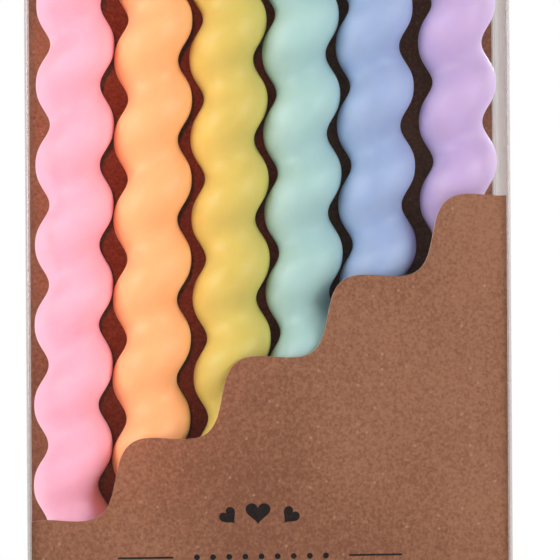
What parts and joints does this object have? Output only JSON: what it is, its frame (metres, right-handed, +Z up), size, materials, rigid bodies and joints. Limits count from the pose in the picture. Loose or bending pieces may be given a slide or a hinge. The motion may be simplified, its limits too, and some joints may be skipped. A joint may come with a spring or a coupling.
{
  "type": "boxed wavy candle set",
  "caption": "Clear tuck-lid box with a wave-edged kraft card pocket, holding a row of pastel spiral-wave candles with wicks; the lid opens and the candles slide in the headspace.",
  "frame": {"origin": "middle of the box's underside, on the surface that the box stands on", "axes": "+Z up along the candles, front of the box faces -Y, +X to the right seen from the front"},
  "size_m": [0.0662, 0.0138, 0.1283],
  "materials": {
    "clear_film": "clear glossy film",
    "kraft_card": "uncoated kraft",
    "cotton_wick": "waxed braid",
    "wax_pink": "satin wax",
    "wax_orange": "satin wax",
    "wax_yellow": "satin wax",
    "wax_mint": "satin wax",
    "wax_blue": "satin wax",
    "wax_purple": "satin wax"
  },
  "bodies": {
    "pack": {"box_front_panel": "clear_film", "box_back_panel": "clear_film", "box_left_wall": "clear_film", "box_right_wall": "clear_film", "glue_lap": "clear_film", "bottom_panel": "clear_film", "bottom_tongue": "clear_film", "bottom_flap_left": "clear_film", "bottom_flap_right": "clear_film", "card_back": "kraft_card", "card_base": "kraft_card", "card_front": "kraft_card"},
    "lid": {"lid_panel": "clear_film", "lid_tongue": "clear_film"},
    "flap_left": {"dust_flap_left": "clear_film"},
    "flap_right": {"dust_flap_right": "clear_film"},
    "candle_pink": {"wax_pink": "wax_pink", "wick_pink": "cotton_wick"},
    "candle_orange": {"wax_orange": "wax_orange", "wick_orange": "cotton_wick"},
    "candle_yellow": {"wax_yellow": "wax_yellow", "wick_yellow": "cotton_wick"},
    "candle_mint": {"wax_mint": "wax_mint", "wick_mint": "cotton_wick"},
    "candle_blue": {"wax_blue": "wax_blue", "wick_blue": "cotton_wick"},
    "candle_purple": {"wax_purple": "wax_purple", "wick_purple": "cotton_wick"}
  },
  "joints": [
    {"name": "lid_hinge", "type": "hinge", "parent": "pack", "child": "lid", "pos_m": [0, 0.00678, 0.12815], "axis": [-1, 0, 0], "range_deg": [0, 165]},
    {"name": "flap_left_hinge", "type": "hinge", "parent": "pack", "child": "flap_left", "pos_m": [-0.03297, 0, 0.12775], "axis": [0, -1, 0], "range_deg": [0, 82.5]},
    {"name": "flap_right_hinge", "type": "hinge", "parent": "pack", "child": "flap_right", "pos_m": [0.03297, 0, 0.12775], "axis": [0, 1, 0], "range_deg": [0, 82.5]},
    {"name": "candle_pink_slide", "type": "slide", "parent": "pack", "child": "candle_pink", "axis": [0, 0, 1], "range_m": [0, 0.004]},
    {"name": "candle_orange_slide", "type": "slide", "parent": "pack", "child": "candle_orange", "axis": [0, 0, 1], "range_m": [0, 0.004]},
    {"name": "candle_yellow_slide", "type": "slide", "parent": "pack", "child": "candle_yellow", "axis": [0, 0, 1], "range_m": [0, 0.004]},
    {"name": "candle_mint_slide", "type": "slide", "parent": "pack", "child": "candle_mint", "axis": [0, 0, 1], "range_m": [0, 0.004]},
    {"name": "candle_blue_slide", "type": "slide", "parent": "pack", "child": "candle_blue", "axis": [0, 0, 1], "range_m": [0, 0.004]},
    {"name": "candle_purple_slide", "type": "slide", "parent": "pack", "child": "candle_purple", "axis": [0, 0, 1], "range_m": [0, 0.004]}
  ],
  "couplings": [
    {"joint": "flap_left_hinge", "follows": "lid_hinge", "ratio": 0.5},
    {"joint": "flap_right_hinge", "follows": "lid_hinge", "ratio": 0.5},
    {"joint": "candle_orange_slide", "follows": "candle_pink_slide", "ratio": 1},
    {"joint": "candle_yellow_slide", "follows": "candle_pink_slide", "ratio": 1},
    {"joint": "candle_mint_slide", "follows": "candle_pink_slide", "ratio": 1},
    {"joint": "candle_blue_slide", "follows": "candle_pink_slide", "ratio": 1},
    {"joint": "candle_purple_slide", "follows": "candle_pink_slide", "ratio": 1}
  ]
}
